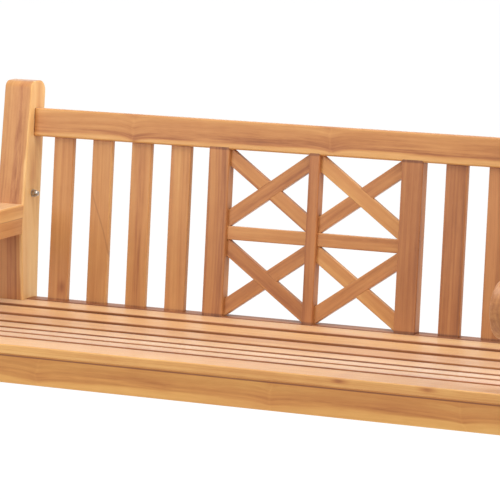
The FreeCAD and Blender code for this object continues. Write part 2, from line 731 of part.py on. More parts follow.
# The hanging hardware. Each eye bolt runs through its post from outside, with a domed
# nut on the inner face, and a shackle hangs from a pin through its eye.
washers = []
cap_nuts = []
for end, y, z in BOLTS:
    for side, sign in SIDES:
        outward = "0; 1; 0"
        turn = "90" if side == "right" else "0 - 90"
        eye_x = f"({sign}({POST_OUTER} + eye_reach))"
        name = f"{end}_{side}"
        face_in = f"({sign}{POST_INNER})"
        face_out = f"({sign}{POST_OUTER})"
        way = "" if side == "right" else "0 - "

        def toward(base, amount, way=way):
            """A place that lies the given amount outward from a base."""
            return f"({base} + ({way}({amount})))"

        bolt_end = toward(face_in, "0 - washer_thickness - nut_bore_depth")
        shank = rod(f"{name}_shank", "bolt_radius",
                    "post_width + eye_reach - (eye_radius + pin_radius) / 2"
                    " + washer_thickness + nut_bore_depth", bolt_end, y, z, outward, turn)
        collar = rod(f"{name}_collar", "collar_radius", "collar_thickness",
                     toward(face_out, "washer_thickness"), y, z, outward, turn)
        lug = rod(f"{name}_lug", "eye_radius", "eye_thickness", eye_x,
                  f"({y} + eye_thickness / 2)", z, "1; 0; 0")
        eye_hole = rod(f"{name}_eye_hole", "pin_radius + pin_clearance", "4 * eye_thickness",
                       eye_x, f"({y} + 2 * eye_thickness)", z, "1; 0; 0")
        eye = cut(f"{name}_eye", lug, [eye_hole])
        nodes[f"eye_bolt_{name}"] = fuse(f"eye_bolt_{name}", [shank, collar, eye])

        # Washers under the collar outside and under the nut inside
        for spot, base in (("outer", face_out),
                           ("inner", toward(face_in, "0 - washer_thickness"))):
            disc = rod(f"{name}_{spot}_disc", f"{spot}_washer_radius", "washer_thickness", base,
                       y, z, outward, turn)
            bore = rod(f"{name}_{spot}_bore", "bolt_radius + fit_clearance",
                       "4 * washer_thickness", toward(base, "0 - washer_thickness"), y, z,
                       outward, turn)
            washers.append(cut(f"{name}_{spot}_washer", disc, [bore]))

        # The domed nut: a hexagon, a short neck and a half ball
        nut_seat = toward(face_in, "0 - washer_thickness")
        hexagon = doc.addObject("Part::Prism", f"{name}_hexagon")
        hexagon.Polygon = 6
        bind(hexagon, "Circumradius", "nut_width / 2 / cos(30)")
        bind(hexagon, "Height", "nut_thickness")
        place(hexagon, nut_seat, y, z, outward, "0 - 90" if side == "right" else "90")
        neck_turn = "0 - 90" if side == "right" else "90"
        neck = rod(f"{name}_neck", "dome_radius", "nut_neck_height",
                   nut_seat, y, z, outward, neck_turn)
        dome = doc.addObject("Part::Sphere", f"{name}_dome")
        bind(dome, "Radius", "dome_radius")
        place(dome, toward(nut_seat, "0 - nut_neck_height"), y, z)
        nut_bore = rod(f"{name}_nut_bore", "bolt_radius + fit_clearance",
                       "nut_bore_depth + fit_clearance",
                       nut_seat, y, z, outward, neck_turn)
        nut_body = fuse(f"{name}_nut_body", [hexagon, neck, dome])
        cap_nuts.append(cut(f"{name}_cap_nut", nut_body, [nut_bore]))

        # The shackle hangs down: two ears, two legs and a half ring
        ear_start = "(eye_thickness / 2 + shackle_side_gap)"
        leg_y = f"({ear_start} + shackle_ear_thickness / 2)"
        pieces = []
        for ear_name, ear_sign in (("near", "0 - "), ("far", "")):
            leg_at = f"({y} + ({ear_sign}{leg_y}))"
            pieces.append(rod(f"{name}_ear_{ear_name}", "shackle_ear_radius",
                              "shackle_ear_thickness", eye_x,
                              f"({leg_at} + shackle_ear_thickness / 2)", z, "1; 0; 0"))
            pieces.append(rod(f"{name}_leg_{ear_name}", "shackle_wire_radius",
                              "shackle_leg_length", eye_x, leg_at,
                              f"({z} - shackle_leg_length)", "0; 0; 1", "0"))
        ring = doc.addObject("Part::Torus", f"{name}_ring")
        bind(ring, "Radius1", leg_y)
        bind(ring, "Radius2", "shackle_wire_radius")
        ring.Angle3 = 180
        flat_turn = "rotation(vector(0; 1; 0); 90) * rotation(vector(0; 0; 1); 0 - 90)"
        ring_middle = f"vector({eye_x}; {y}; {z} - shackle_leg_length)"
        bind(ring, "Placement", f"placement({ring_middle}; {flat_turn})")
        pieces.append(ring)
        bow_solid = fuse(f"{name}_bow_solid", pieces)
        pin_hole = rod(f"{name}_pin_hole", "pin_radius + fit_clearance", "8 * eye_thickness",
                       eye_x, f"({y} + 4 * eye_thickness)", z, "1; 0; 0")
        nodes[f"shackle_{name}"] = cut(f"shackle_{name}", bow_solid, [pin_hole])

        # The shackle's pin, with a round head at its front end
        reach = f"({ear_start} + shackle_ear_thickness)"
        pin = rod(f"{name}_pin_shaft", "pin_radius", f"2 * {reach} + pin_end_length", eye_x,
                  f"({y} + {reach} + pin_end_length)", z, "1; 0; 0")
        head = rod(f"{name}_pin_head", "pin_head_radius", "pin_head_thickness", eye_x,
                   f"({y} - {reach})", z, "1; 0; 0")
        nodes[f"shackle_pin_{name}"] = fuse(f"shackle_pin_{name}", [pin, head])

nodes["eye_bolt_washers"] = group("eye_bolt_washers", washers)
nodes["eye_bolt_cap_nuts"] = group("eye_bolt_cap_nuts", cap_nuts)

doc.recompute()
os.makedirs("parts", exist_ok=True)
for item in doc.Objects:
    if "Invalid" in item.State or "Error" in item.State:
        raise RuntimeError(f"{item.Name} did not build: {item.State}")
for name, item in nodes.items():
    item.Label = name
    shape = item.Shape
    if shape.isNull() or not shape.isValid():
        raise RuntimeError(f"{name} has no valid shape")
for name, item in nodes.items():
    item.Shape.exportStep(f"parts/{name}.step")
    print(name, len(item.Shape.Solids), round(item.Shape.Volume))
print(len(nodes), "pieces")
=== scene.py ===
# %% [markdown]
# # A hanging garden seat in oiled teak
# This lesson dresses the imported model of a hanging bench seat: four posts, a slatted
# back with crossed panels, a dished seat and two scrolled arms. Every board already has
# its true shape, so the work here is the wood: where each board's grain runs, how red or
# yellow it is, and how the light falls between the slats.

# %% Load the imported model
import bpy
import json
import math
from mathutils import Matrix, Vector


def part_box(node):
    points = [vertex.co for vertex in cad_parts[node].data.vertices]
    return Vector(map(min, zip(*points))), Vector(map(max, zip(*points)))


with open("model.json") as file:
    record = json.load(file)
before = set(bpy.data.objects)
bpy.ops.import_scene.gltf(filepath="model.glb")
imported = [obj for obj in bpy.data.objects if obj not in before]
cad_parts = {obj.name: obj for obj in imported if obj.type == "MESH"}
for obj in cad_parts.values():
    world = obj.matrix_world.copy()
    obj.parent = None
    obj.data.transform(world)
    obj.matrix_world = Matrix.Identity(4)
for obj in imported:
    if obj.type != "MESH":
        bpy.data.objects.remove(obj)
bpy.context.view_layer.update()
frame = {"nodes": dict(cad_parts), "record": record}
nodes = frame["nodes"]

# %% [markdown]
# A shader works in linear light, but a maker names a colour as it looks. This helper
# turns a colour as it looks, 0 to 255, into linear light, so that every finish below can
# be written the way it is seen.

# %% Colours as they look
def paint(red, green, blue):
    def linear(level):
        level = level / 255
        return level / 12.92 if level <= 0.04045 else ((level + 0.055) / 1.055) ** 2.4
    return (linear(red), linear(green), linear(blue), 1.0)


print("orange teak in linear light:", [round(x, 3) for x in paint(217, 156, 104)])

# %% [markdown]
# A node tree could be wired by hand, socket by socket, but it is easier to read when
# each node is one short call. The helper below adds nodes to one tree. It joins what is
# a socket and types in what is a number. The same few sums come back all through the
# wood, so they get names of their own: a value times another plus a third, a noise
# centred on nought, and a bell, which is 1 in its middle and falls off to both sides.

# %% Short calls for node trees
class Wiring:
    def __init__(self, tree):
        self.tree = tree

    def node(self, kind, inputs=None, **settings):
        node = self.tree.nodes.new(kind)
        for name, value in settings.items():
            setattr(node, name, value)
        for name, value in (inputs or {}).items():
            if isinstance(value, bpy.types.NodeSocket):
                self.tree.links.new(value, node.inputs[name])
            else:
                node.inputs[name].default_value = value
        return node

    def maths(self, operation, *values):
        return self.node("ShaderNodeMath", dict(enumerate(values)),
                         operation=operation).outputs[0]

    def times_plus(self, value, factor, extra):
        return self.maths("MULTIPLY_ADD", value, factor, extra)

    def centred(self, noise):
        return self.maths("SUBTRACT", noise, 0.5)

    def bell(self, value, sharpness):
        square = self.maths("MULTIPLY", value, value)
        return self.maths("EXPONENT", self.maths("MULTIPLY", square, sharpness))

    def noise(self, place, detail=2.0, roughness=0.5, size="3D"):
        inputs = {"Scale": 1.0, "Detail": detail, "Roughness": roughness}
        inputs["W" if size == "1D" else "Vector"] = place
        return self.node("ShaderNodeTexNoise", inputs, noise_dimensions=size).outputs[0]

    def between(self, value, low, high, new_low=0.0, new_high=1.0, style="SMOOTHSTEP"):
        inputs = {"Value": value, "From Min": low, "From Max": high,
                  "To Min": new_low, "To Max": new_high}
        return self.node("ShaderNodeMapRange", inputs, interpolation_type=style).outputs[0]

    def mix_number(self, factor, first, second):
        return self.node("ShaderNodeMix", {"Factor": factor, "A": first, "B": second},
                         data_type="FLOAT").outputs[0]

    def mix_colour(self, factor, first, second, blend="MIX"):
        # A Mix node's colours are its inputs 6 and 7, and its output 2
        return self.node("ShaderNodeMix", {"Factor": factor, 6: first, 7: second},
                         data_type="RGBA", blend_type=blend).outputs[2]


print("helpers ready")

# %% [markdown]
# All the boards share one wood, so the wood is one node group, and each board tells it
# what is its own. The table names what makes up a board's look, each with the sockets
# that take it. Lengths are in metres, from the board's middle. Redness runs from 0, pale
# sapwood, to 1, dark heartwood. Slope is how much it rises along a metre of the board,
# and second is the redness below a glue line. Figure is how strongly the grain shows,
# honey is a yellow glaze, push is how far a knot bends the grain, and edge shade and end
# shade are how much painted shade darkens a board's edges and its ends.

# %% What each board tells the wood
place_sockets = ("Middle", "Along", "Across", "Through")
reach_sockets = ("Edge Half", "End Half")
look_sockets = {
    "seed": ("Seed",), "redness": ("Redness",), "slope": ("Redness Slope",),
    "second": ("Second Redness",), "figure": ("Figure",), "honey": ("Honey",),
    "push": ("Knot Push",), "edges": ("Edge Redness",), "ends": ("End Redness",),
    "pith": ("Pith Across", "Pith Through"),
    "sapwood": ("Sapwood Edge", "Sapwood Redness"),
    "heart": ("Heart Centre", "Heart Width", "Heart Redness"),
    "knots": ("Knot One", "Knot Two", "Knot Three"),
    "eye": ("Eye Redness", "Eye Offset", "Eye Sharpness", "Eye On Face"),
    "line": ("Line Place", "Line Width", "Line Strength", "Line Slope", "Line Wave"),
}


def new_teak_group():
    group = bpy.data.node_groups.new("oiled_teak", "ShaderNodeTree")
    for name in place_sockets:
        group.interface.new_socket(name, in_out="INPUT", socket_type="NodeSocketVector")
    for names in (reach_sockets, *look_sockets.values()):
        for name in names:
            group.interface.new_socket(name, in_out="INPUT", socket_type="NodeSocketFloat")
    for name, kind in (("Color", "Color"), ("Roughness", "Float"), ("Height", "Float")):
        group.interface.new_socket(name, in_out="OUTPUT", socket_type="NodeSocket" + kind)
    return group


teak_group = new_teak_group()
given = teak_group.nodes.new("NodeGroupInput").outputs
result = teak_group.nodes.new("NodeGroupOutput").inputs
wood = Wiring(teak_group)
print("the group has", len(teak_group.interface.items_tree), "sockets")

# %% [markdown]
# Teak is cut from a round trunk, so its figure is a solid one: growth rings round the
# pith, drawn out along the board. Streaks painted on each face would break at every
# arris. Here each point of a board is first measured along, across and through the
# board, from the board's middle. Everything else comes from those three numbers, and
# end grain and side grain follow without any more work.

# %% Measure each point on its board
here = wood.node("ShaderNodeTexCoord").outputs["Object"]
from_middle = wood.node("ShaderNodeVectorMath", {0: here, 1: given["Middle"]},
                        operation="SUBTRACT").outputs[0]


def measured(direction):
    return wood.node("ShaderNodeVectorMath", {0: from_middle, 1: given[direction]},
                     operation="DOT_PRODUCT").outputs["Value"]


along, across, through = measured("Along"), measured("Across"), measured("Through")
print("each point is measured with", len(teak_group.nodes), "nodes so far")

# %% [markdown]
# The grain never runs quite straight. A slow noise, drawn out along the board, moves it
# to one side and back, and all that follows the grain reads the moved place, bent. A
# noise's two scales say how many of its waves fit in a metre along and across the board.
# The seed shifts each noise by another step, so that no two boards and no two noises
# match.

# %% The grain wanders
def stretched(along_scale, across_scale, across_value, seed_step):
    shift = wood.maths("MULTIPLY", given["Seed"], seed_step)
    parts = {"X": wood.times_plus(along, along_scale, shift),
             "Y": wood.times_plus(across_value, across_scale, shift),
             "Z": wood.maths("MULTIPLY", through, across_scale)}
    return wood.node("ShaderNodeCombineXYZ", parts).outputs[0]


grain_drift = 0.022
mottle = wood.noise(stretched(22.0, 34.0, across, 6.13), detail=2.0)
wander = wood.centred(wood.noise(stretched(2.4, 6.0, across, 7.31), detail=1.0))
bent = wood.times_plus(wander, grain_drift, across)
print("the grain drifts by up to about", grain_drift / 2, "m")

# %% [markdown]
# A branch leaves a knot, and the grain goes round it. On the rails the knot itself was
# planed away and only the V of the bent grain shows, with a thin pale curl over it. On
# the seat's nose and on one back slat the dark eye of the knot shows. A board has up to
# three knots. The dip is a sharp and a wide fall added up, because one alone looks like
# a dent.

# %% Knots
knot_width, dip_width, knot_drift, curl_drift = 0.014, 0.035, 0.05, 0.03
sharp_share, wide_share, shade_share, curl_share = 0.6, 0.5, 0.3, 0.3
curl_sharpness, eye_length_sharpness = -1.2e5, -5.0e3
tiny_square = 0.00002  # keeps the bottom of the dip round
eye_side = wood.mix_number(given["Eye On Face"], through, across)
eye_side = wood.maths("SUBTRACT", eye_side, given["Eye Offset"])
eye_band = wood.bell(eye_side, given["Eye Sharpness"])
curl_wave = wood.maths("MULTIPLY", wood.centred(mottle), curl_drift)
knot_shade, knot_eye, curl = 0.0, 0.0, 0.0
for knot in look_sockets["knots"]:
    away = wood.times_plus(wander, knot_drift, wood.maths("SUBTRACT", along, given[knot]))
    distance = wood.maths("SQRT", wood.times_plus(away, away, tiny_square))
    fall = wood.maths("EXPONENT", wood.maths("MULTIPLY", distance, -1 / knot_width))
    wide_fall = wood.maths("EXPONENT", wood.maths("MULTIPLY", distance, -1 / dip_width))
    dip = wood.times_plus(fall, sharp_share, wood.maths("MULTIPLY", wide_fall, wide_share))
    bent = wood.times_plus(dip, given["Knot Push"], bent)
    knot_shade = wood.times_plus(fall, shade_share, knot_shade)
    pin = wood.bell(wood.maths("ADD", away, curl_wave), curl_sharpness)
    curl = wood.times_plus(pin, curl_share, curl)
    knot_eye = wood.times_plus(wood.bell(away, eye_length_sharpness), eye_band, knot_eye)
print("with the knots:", len(teak_group.nodes), "nodes")

# %% [markdown]
# A ring is a place of equal distance from the pith, so two noises read that distance
# alone: one for the fine rings and one for their broad bands. A pith far from the board
# gives straight lines, and one close to it gives curved ones.

# %% Growth rings
rings_per_metre, bands_per_metre, ring_seed_step = 210.0, 62.0, 13.7
off_pith_across = wood.maths("SUBTRACT", bent, given["Pith Across"])
off_pith_through = wood.maths("SUBTRACT", through, given["Pith Through"])
radius = wood.maths("MULTIPLY", off_pith_across, off_pith_across)
radius = wood.maths("SQRT", wood.times_plus(off_pith_through, off_pith_through, radius))
ring_shift = wood.maths("MULTIPLY", given["Seed"], ring_seed_step)
rings = wood.noise(wood.times_plus(radius, rings_per_metre, ring_shift),
                   detail=2.5, roughness=0.55, size="1D")
broad_rings = wood.noise(wood.times_plus(radius, bands_per_metre, ring_shift),
                         detail=1.0, size="1D")
print("a fine ring is about", round(1000 / rings_per_metre, 1), "mm wide")

# %% [markdown]
# Among the rings lie streaks of oil, soft clouds of colour and the pores. They could be
# three textures, but they are the same noise, drawn out more or less along the grain,
# the pores the thinnest.

# %% Streaks, clouds and pores
streaks = wood.noise(stretched(5.5, 120.0, bent, 3.17), detail=3.0, roughness=0.6)
clouds = wood.noise(stretched(4.5, 30.0, bent, 5.23), detail=3.0)
pores = wood.noise(stretched(60.0, 1500.0, bent, 2.71), detail=1.0)
print("with rings, streaks and pores:", len(teak_group.nodes), "nodes")

# %% [markdown]
# How red the wood is at a point is one number: the board's own mean, which may rise
# along it, and each pattern's share. The left arm is glued up from two boards, so it has
# a second mean below its glue line. A quiet board has its figure turned down.

# %% How red the wood is
is_second = wood.maths("LESS_THAN", across, given["Line Place"])
mean = wood.mix_number(is_second, given["Redness"], given["Second Redness"])
mean = wood.times_plus(along, given["Redness Slope"], mean)
redness = wood.times_plus(knot_shade, given["Heart Redness"], mean)
pale_curl = wood.maths("MULTIPLY", curl, given["Heart Redness"])
redness = wood.maths("SUBTRACT", redness, pale_curl)
redness = wood.times_plus(knot_eye, given["Eye Redness"], redness)
pattern_shares = ((broad_rings, 0.34), (rings, 0.34), (streaks, 0.46),
                  (clouds, 0.30), (mottle, 0.12), (pores, 0.2))
figure = 0.0
for pattern, share in pattern_shares:
    figure = wood.times_plus(wood.centred(pattern), share, figure)
redness = wood.times_plus(figure, given["Figure"], redness)
print("the figure is the sum of", len(pattern_shares), "patterns")

# %% [markdown]
# Three things change the wood in places. The darker heart runs through a board as a band
# of reddish streaks. Painted shade darkens a few millimetres of a seat slat's edges, for
# the gaps between the slats, and of a board's ends, as a contact shadow at its joint. A
# board cut near the bark has pale sapwood along one edge, with a soft and wavy border.

# %% Heart, edges, ends and sapwood
off_heart = wood.maths("DIVIDE", wood.maths("SUBTRACT", bent, given["Heart Centre"]),
                       given["Heart Width"])
heart_streaks = wood.between(streaks, 0.3, 0.62, new_low=0.45, new_high=1.3,
                             style="LINEAR")
heart = wood.maths("MULTIPLY", wood.bell(off_heart, -1.0), heart_streaks)
redness = wood.times_plus(heart, given["Heart Redness"], redness)

edge_depth, end_depth = 0.005, 0.003
# painted shade: the Edge Redness and End Redness sockets darken the edges and ends
for place, kind, depth in ((across, "Edge", edge_depth), (along, "End", end_depth)):
    beyond = wood.maths("SUBTRACT", wood.maths("ABSOLUTE", place), given[kind + " Half"])
    painted_shade = wood.between(beyond, -depth, 0.0)
    redness = wood.times_plus(painted_shade, given[kind + " Redness"], redness)

border_softness, border_wave, sapwood_figure = 0.0025, 0.014, 0.75
border_place = wood.times_plus(wood.centred(clouds), border_wave, bent)
border_start = wood.maths("SUBTRACT", given["Sapwood Edge"], border_softness)
border_end = wood.maths("ADD", given["Sapwood Edge"], border_softness)
is_sapwood = wood.between(border_place, border_start, border_end,
                          new_low=1.0, new_high=0.0)
sapwood = wood.times_plus(wood.maths("SUBTRACT", redness, mean), sapwood_figure,
                          given["Sapwood Redness"])
redness = wood.mix_number(is_sapwood, redness, sapwood)
print("with heart, edges and sapwood:", len(teak_group.nodes), "nodes")

# %% [markdown]
# Teak's colour could be mixed from several noises, but then its hues would drift apart.
# One ramp turns redness into colour, from straw through orange to brown, so that every
# shade is one that teak has. Some places blush a little pinker than the ramp, and a
# board may have a honey glaze, which takes out blue.

# %% From redness to colour
teak_shades = ((0.0, paint(230, 188, 128)), (0.22, paint(217, 168, 106)),
               (0.42, paint(202, 147, 88)), (0.62, paint(187, 128, 75)),
               (0.8, paint(163, 103, 59)), (1.0, paint(122, 72, 41)))
pink_blush, honey_glaze = paint(200, 134, 90), paint(255, 244, 214)
ramp = wood.node("ShaderNodeValToRGB", {"Fac": redness})
for index, (stop, shade) in enumerate(teak_shades):
    band = (ramp.color_ramp.elements[index] if index < 2
            else ramp.color_ramp.elements.new(stop))
    band.position = stop
    band.color = shade
blush = wood.noise(stretched(1.6, 14.0, across, 9.41), detail=1.0)
blush = wood.between(blush, 0.5, 0.72, new_high=0.22)
tinted = wood.mix_colour(blush, ramp.outputs["Color"], pink_blush)
glazed = wood.mix_colour(given["Honey"], tinted, honey_glaze, "MULTIPLY")
print("the ramp has", len(ramp.color_ramp.elements), "shades")

# %% [markdown]
# Some boards carry one thin dark line: the glue line of an arm, a painted shadow on the
# apron under the seat's nose, or a mineral line that wanders across a slat. It fades
# over its own width at both sides. The group also hands on how rough the surface is,
# from the streaks and pores, and its height for the bump, from the rings and pores.

# %% The dark line, and what leaves the group
line_brown = paint(120, 70, 44)
line_place = wood.times_plus(along, given["Line Slope"], given["Line Place"])
line_place = wood.times_plus(wander, given["Line Wave"], line_place)
off_line = wood.maths("ABSOLUTE", wood.maths("SUBTRACT", across, line_place))
line_side = wood.maths("MULTIPLY", given["Line Width"], 0.5)
line_end = wood.maths("MULTIPLY", given["Line Width"], 1.5)
line = wood.between(off_line, line_side, line_end,
                    new_low=given["Line Strength"], new_high=0.0)
colour = wood.mix_colour(line, glazed, line_brown)
roughness = wood.between(wood.maths("ADD", streaks, pores), 0.6, 1.4,
                         new_low=0.34, new_high=0.5, style="LINEAR")
ring_height = 0.35
height = wood.times_plus(rings, ring_height, pores)
for name, socket in (("Color", colour), ("Roughness", roughness), ("Height", height)):
    teak_group.links.new(socket, result[name])
print(teak_group.name, "has", len(teak_group.nodes), "nodes")

# %% [markdown]
# The wood has to know which way each board's grain runs. The back leans by six degrees,
# so its slats and stiles lean with it, and the crossed bars climb at the slope from
# corner to corner. A seat slat lies in the dish at its own tilt, which its widest face
# gives. The directions are unit vectors in the seat's frame.

# %% Boards that lean, climb or tilt
back_lean = math.radians(6.0)
bar_width = 0.030
X_WAY, Y_WAY, Z_WAY = Vector((1, 0, 0)), Vector((0, 1, 0)), Vector((0, 0, 1))
up_the_back = Vector((0, math.sin(back_lean), math.cos(back_lean)))
out_of_back = Vector((0, -math.cos(back_lean), math.sin(back_lean)))


def bar_directions(name):
    low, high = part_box(name)
    rise = (high.z - low.z) / up_the_back.z - bar_width
    slope = math.atan2(rise, high.x - low.x)
    if name.endswith("falling"):
        slope = -slope
    bar_along = X_WAY * math.cos(slope) + up_the_back * math.sin(slope)
    bar_across = -X_WAY * math.sin(slope) + up_the_back * math.cos(slope)
    return bar_along, bar_across, out_of_back


def slat_directions(name):
    widest = max(nodes[name].data.polygons, key=lambda face: face.area)
    upward = widest.normal.copy()
    if upward.z < 0:
        upward.negate()
    return X_WAY, upward.cross(X_WAY), upward


print("a crossed bar runs along",
      [round(x, 2) for x in bar_directions("crossed_bar_upper_left_rising")[0]])

# %% [markdown]
# The other boards run straight with the seat: rails from side to side, posts upright,
# and arms, side rails and bearers from front to back. The left rear post is turned
# about, so that its pale sapwood, partly painted light from the lamp on the right, comes
# on the face that looks into the seat.

# %% Which way each board runs
def board_directions(name):
    """Along, across and through, as unit vectors."""
    if name.startswith("crossed_bar"):
        return bar_directions(name)
    if name.startswith(("back_slat", "wide_stile", "centre_stile")):
        return up_the_back, X_WAY, out_of_back
    if name.startswith(("top_back", "mid_rail")):
        return X_WAY, up_the_back, out_of_back
    if name == "rear_post_left":
        return Z_WAY, -X_WAY, Y_WAY
    if name.startswith(("rear_post", "front_post")):
        return Z_WAY, X_WAY, Y_WAY
    if name.startswith(("arm", "side_seat_rail", "seat_bearer")):
        return Y_WAY, Z_WAY, X_WAY
    if name.startswith("seat_slat"):
        return slat_directions(name)
    return X_WAY, Z_WAY, Y_WAY


for name in ("top_back_rail", "rear_post_left", "arm_left"):
    print(name, "runs along", [round(x, 2) for x in board_directions(name)[0]])

# %% [markdown]
# The wood also has to know how far a board reaches, so that painted shade can darken its
# edges and its ends. Both could be typed in, but then they would have to follow every
# change of the model, so they are measured on the board's mesh. An end is where the board
# comes out of the joint, so the hidden tenon is taken off.

# %% How far each board reaches
slat_tenon = 0.014


def half_size(name, way):
    """How far the board reaches from the middle of its box: 0 along it, 1 across it."""
    low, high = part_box(name)
    middle, direction = (low + high) / 2, board_directions(name)[way]
    return max(abs((vertex.co - middle).dot(direction))
               for vertex in nodes[name].data.vertices)


def half_seen(name):
    """Half the length that shows between the joints."""
    if name == "top_back_rail":
        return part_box("rear_post_right")[0].x
    return half_size(name, 0) - slat_tenon


print("half a back slat shows:", round(half_seen("back_slat_1"), 4))
for number in range(1, 8):
    print("seat slat", number, "reaches", round(half_size(f"seat_slat_{number}", 1), 4))

# %% [markdown]
# No two boards of a bench match, so each gets a look of its own, and the usual look says
# what a board has when nothing else is said. A figure that a board doesn't have is put
# 9 m away, further than any board reaches, so that it never shows. The sheen is the silk
# of a worn face. It is the same all over a board, so it goes on the shader itself and
# not through the wood's group.

# %% The usual look
FAR = 9.0
usual_look = dict(redness=0.45, slope=0.0, figure=1.0, honey=0.0, pith=(0.01, 0.1),
                  sapwood=(-FAR, 0.2), heart=(FAR, 0.01, 0.0), knots=(FAR, FAR, FAR),
                  push=0.0, eye=(0.0, 0.003, -5.0e4, 0.0),
                  line=(-FAR, 0.0008, 0.45, 0.0, 0.0), edges=0.0, ends=0.0, sheen=0.4)
print("a usual board has a redness of", usual_look["redness"])

# %% [markdown]
# The top rail and the apron show the most: both have a pale sapwood edge below, a dark
# heart band above it, and three knots. The top rail's ends carry painted shadow from the
# posts. The left rear post was cut near the bark, so its inner face is pale, partly from
# its sapwood and partly from painted light; its redness rising to its foot is partly
# painted shade under the arm. The line on the apron is a painted shadow just under the
# front slat, so its place is measured from that slat.

# %% The rails' and posts' looks
apron_low, apron_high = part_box("front_apron")
apron_middle = (apron_low.z + apron_high.z) / 2
shadow_below_slat = 0.0015
under_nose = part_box("seat_slat_7")[0].z - shadow_below_slat - apron_middle
board_looks = {
    "top_back_rail": dict(redness=0.56, slope=0.10, honey=0.25, pith=(-0.016, 0.13),
                          seed=1.3, sapwood=(-0.0185, 0.33),
                          heart=(-0.0105, 0.010, 0.21), knots=(-0.422, 0.030, 0.68),
                          # painted shadow of the posts on the rail's ends
                          push=0.010, ends=0.8),
    "front_apron": dict(redness=0.38, honey=1.0, pith=(-0.02, 0.13), seed=4.1,
                        sapwood=(-0.013, 0.25), heart=(-0.004, 0.009, 0.22),
                        knots=(-0.332, 0.180, 0.572), push=0.006,
                        # the apron's line is a painted shadow under the front slat's nose
                        line=(under_nose, 0.0014, 0.8, 0.0, 0.0)),
    # pale inner face partly painted light; the slope is partly painted shade under the arm
    "rear_post_left": dict(redness=0.61, slope=-0.35, figure=0.75, pith=(0.30, 0.02),
                           seed=2.2, sapwood=(-0.0305, 0.09),
                           heart=(-0.012, 0.009, 0.17)),
    "rear_post_right": dict(redness=0.52, pith=(-0.28, 0.03), seed=6.4),
    "front_post_left": dict(redness=0.50, figure=0.35, honey=0.2, pith=(0.25, 0.02),
                            seed=3.6),
    "front_post_right": dict(redness=0.45, figure=0.7, pith=(-0.25, 0.02), seed=9.2),
    # its edges carry painted shade
    "rear_seat_rail": dict(redness=0.62, honey=0.5, pith=(0.02, 0.09), seed=2.6,
                           edges=0.3, sheen=0.0),
    "mid_rail_left": dict(redness=0.52, honey=0.2, pith=(0.01, 0.06), seed=2.4),
    "mid_rail_right": dict(redness=0.62, honey=0.25, pith=(-0.02, 0.08), seed=3.9),
}
print("the apron's dust line lies", round(under_nose, 4), "m above its middle")

# %% [markdown]
# The back's slats and stiles are reddest just to the right of the middle and paler
# towards both ends. The first slat has a knot low on its face, a mineral line wanders
# across the second, and the third shows a band of heart.

# %% The slats' and stiles' looks
board_looks.update({
    "back_slat_1": dict(redness=0.55, pith=(0.12, 0.07), seed=5.1,
                        knots=(-0.149, FAR, FAR), eye=(0.28, 0.010, -1.6e4, 1.0)),
    "back_slat_2": dict(redness=0.53, pith=(-0.05, 0.03), seed=7.7,
                        line=(0.005, 0.0018, 0.30, -0.36, 0.09)),
    "back_slat_3": dict(redness=0.50, pith=(0.0, 0.10), seed=8.3,
                        heart=(0.002, 0.009, 0.2)),
    "back_slat_4": dict(redness=0.56, pith=(0.09, 0.08), seed=1.9),
    "wide_stile_left": dict(redness=0.66, figure=0.65, pith=(0.10, 0.06), seed=3.3,
                            heart=(0.010, 0.008, 0.14)),
    "centre_stile": dict(redness=0.76, honey=0.3, pith=(0.08, 0.05), seed=6.1),
    "wide_stile_right": dict(redness=0.76, figure=0.6, pith=(0.12, 0.12), seed=7.9),
    "back_slat_5": dict(redness=0.78, pith=(-0.12, 0.08), seed=2.9),
    "back_slat_6": dict(redness=0.68, pith=(0.10, 0.10), seed=4.7),
    "back_slat_7": dict(redness=0.64, pith=(0.12, 0.07), seed=5.9),
    "back_slat_8": dict(redness=0.62, pith=(-0.12, 0.09), seed=8.8),
})
print(len(board_looks), "boards have a look of their own so far")

# %% [markdown]
# The rearmost seat slat is the palest, and the front one, the seat's nose, shows two
# knots at its edge. The left arm is two boards glued one above the other, the upper one
# pale. The right arm is one dark board.

# %% The seat's and arms' looks
board_looks.update({
    "seat_slat_1": dict(redness=0.21, honey=0.2),
    "seat_slat_7": dict(redness=0.32, slope=0.1, honey=0.6, seed=5.2,
                        knots=(0.325, 0.497, FAR), eye=(0.5, 0.003, -5.0e4, 0.0)),
    "arm_left": dict(redness=0.31, second=0.5, pith=(0.03, 0.10), seed=4.4,
                     line=(0.0, 0.0008, 0.45, 0.0, 0.0)),
    "arm_right": dict(redness=0.74, pith=(0.01, 0.05), seed=6.6),
})
print(len(board_looks), "boards have a look of their own")

# %% [markdown]
# Boards of one kind share part of their look. The seat's slats are pale, worn and silky,
# with painted shade on their edges for the gaps between them, the back's upright boards
# have painted contact shadow at their ends, and the crossed bars are thin and cut close to
# the pith. What the tables above say comes last and wins. Where they give no seed, a
# board's place in the list of boards gives one.

# %% Looks by kind
first_seed, seed_rise = 1.0, 0.83
palest_slat, slat_rise, slat_tones = 0.30, 0.05, 3
# painted shade on each seat slat's edges, darkest at the rear gaps
slat_edges = {1: 0.6, 2: 0.45, 3: 0.45, 4: 0.55, 5: 0.4, 6: 0.32, 7: 0.0}
bar_redness = {"upper_left_falling": 0.69, "upper_left_rising": 0.64,
               "upper_right_falling": 0.50, "upper_right_rising": 0.66,
               "lower_left_falling": 0.72, "lower_left_rising": 0.62,
               "lower_right_falling": 0.46, "lower_right_rising": 0.58}


